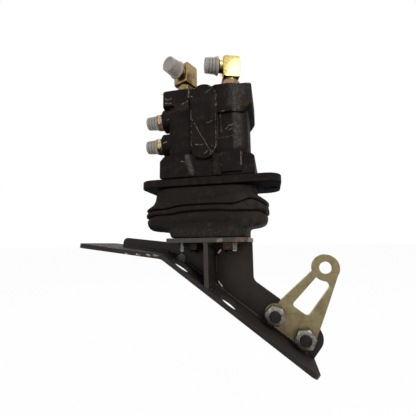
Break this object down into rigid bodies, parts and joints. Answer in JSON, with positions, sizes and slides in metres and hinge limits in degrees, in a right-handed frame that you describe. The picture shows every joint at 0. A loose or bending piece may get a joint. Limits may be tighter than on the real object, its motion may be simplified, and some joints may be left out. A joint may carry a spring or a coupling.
{
  "type": "hydraulic foot pedal valve",
  "caption": "Hydraulic foot pedal valve: cast body with capped ports on a slotted flange, folded rubber boot, and a rocking bent pedal plate with an offset link bracket.",
  "frame": {"origin": "centre of the mounting flange's seating face, midway between its two slots, on the casting's centre line", "axes": "+X towards the pedal's toe end, +Y towards the back of the casting, away from the side with the rib and port elbows' outlets; +Z from the pedal to the ports"},
  "size_m": [0.2901, 0.0993, 0.3453],
  "materials": {
    "casting": "rough cast, painted black and worn at the edges",
    "flange": "black paint, worn",
    "boot": "matt black rubber",
    "seal": "smooth black rubber",
    "pedal": "half-gloss black paint",
    "rust": "rusted",
    "bracket": "yellow plated, dull",
    "plated_frame": "plated sheet",
    "plated_screws": "zinc plated",
    "steel": "ground bright",
    "spring": "spring wire",
    "machined_steel": "machined",
    "bronze": "sintered bronze",
    "fitting": "yellow zinc plated",
    "washer": "plated ring bonded to rubber",
    "cap": "milky translucent plastic"
  },
  "bodies": {
    "valve": {"valve_body": "casting", "gallery_plugs": "steel", "mounting_flange": "flange", "flange_screws": "plated_screws", "pivot_saddle": "machined_steel", "saddle_screws": "plated_screws", "pivot_pin": "steel", "pin_clips": "steel", "boot": "boot", "boot_top_frame": "plated_frame", "guide_plug_left": "steel", "guide_plug_right": "steel", "wiper_seal_left": "seal", "wiper_seal_right": "seal", "plug_seal_left": "seal", "plug_seal_right": "seal", "return_spring_left": "spring", "return_spring_right": "spring", "metering_spring_left": "spring", "metering_spring_right": "spring", "top_elbow_left": "fitting", "top_elbow_right": "fitting", "elbow_lock_nut_left": "fitting", "elbow_lock_nut_right": "fitting", "top_seal_left": "washer", "top_seal_right": "washer", "side_adapter_upper": "fitting", "side_adapter_lower": "fitting", "side_seal_upper": "washer", "side_seal_lower": "washer"},
    "pedal": {"rocker": "machined_steel", "pivot_bushes": "bronze", "boot_foot_frame": "plated_frame", "boot_frame_screws": "plated_screws", "top_plate": "pedal", "plate_bolts": "plated_screws", "plate_nuts": "pedal", "plate_nut_rusty": "rust", "foot_plate": "pedal", "web_plate": "pedal", "gusset_near": "pedal", "gusset_far": "pedal", "link_bracket": "bracket", "bracket_bolts": "plated_screws", "bracket_nuts": "plated_screws"},
    "rod_left": {"push_rod_left": "steel", "spring_seat_left": "steel"},
    "rod_right": {"push_rod_right": "steel", "spring_seat_right": "steel"},
    "plunger_left": {"spool_left": "steel"},
    "plunger_right": {"spool_right": "steel"},
    "cap_side_upper": {"side_cap_upper": "cap"},
    "cap_side_lower": {"side_cap_lower": "cap"},
    "cap_top_left": {"top_cap_left": "cap"},
    "cap_top_right": {"top_cap_right": "cap"}
  },
  "joints": [
    {"name": "pedal_rock", "type": "hinge", "parent": "valve", "child": "pedal", "pos_m": [0, 0, -0.036], "axis": [0, 1, 0], "range_deg": [-12.4, 12.4], "stiffness_Nm_per_rad": 60, "deforming": ["boot"]},
    {"name": "push_rod_left_slide", "type": "slide", "parent": "valve", "child": "rod_left", "axis": [0, 0, 1], "range_m": [-0.00565, 0.00565], "deforming": ["return_spring_left"]},
    {"name": "spool_left_slide", "type": "slide", "parent": "valve", "child": "plunger_left", "axis": [0, 0, 1], "range_m": [-0.0019, 0.0019], "deforming": ["metering_spring_left"]},
    {"name": "push_rod_right_slide", "type": "slide", "parent": "valve", "child": "rod_right", "axis": [0, 0, 1], "range_m": [-0.00565, 0.00565], "deforming": ["return_spring_right"]},
    {"name": "spool_right_slide", "type": "slide", "parent": "valve", "child": "plunger_right", "axis": [0, 0, 1], "range_m": [-0.0019, 0.0019], "deforming": ["metering_spring_right"]},
    {"name": "cap_side_upper_off", "type": "slide", "parent": "valve", "child": "cap_side_upper", "axis": [-1, 0, 0], "range_m": [0, 0.03]},
    {"name": "cap_side_lower_off", "type": "slide", "parent": "valve", "child": "cap_side_lower", "axis": [-1, 0, 0], "range_m": [0, 0.03]},
    {"name": "cap_top_left_off", "type": "slide", "parent": "valve", "child": "cap_top_left", "axis": [-0.4226, -0.9063, 0], "range_m": [0, 0.03]},
    {"name": "cap_top_right_off", "type": "slide", "parent": "valve", "child": "cap_top_right", "axis": [-0.9397, -0.342, 0], "range_m": [0, 0.015]}
  ],
  "couplings": [
    {"joint": "push_rod_left_slide", "follows": "pedal_rock", "m_per_rad": 0.026},
    {"joint": "spool_left_slide", "follows": "pedal_rock", "m_per_rad": 0.0087},
    {"joint": "push_rod_right_slide", "follows": "pedal_rock", "m_per_rad": -0.026},
    {"joint": "spool_right_slide", "follows": "pedal_rock", "m_per_rad": -0.0087}
  ]
}
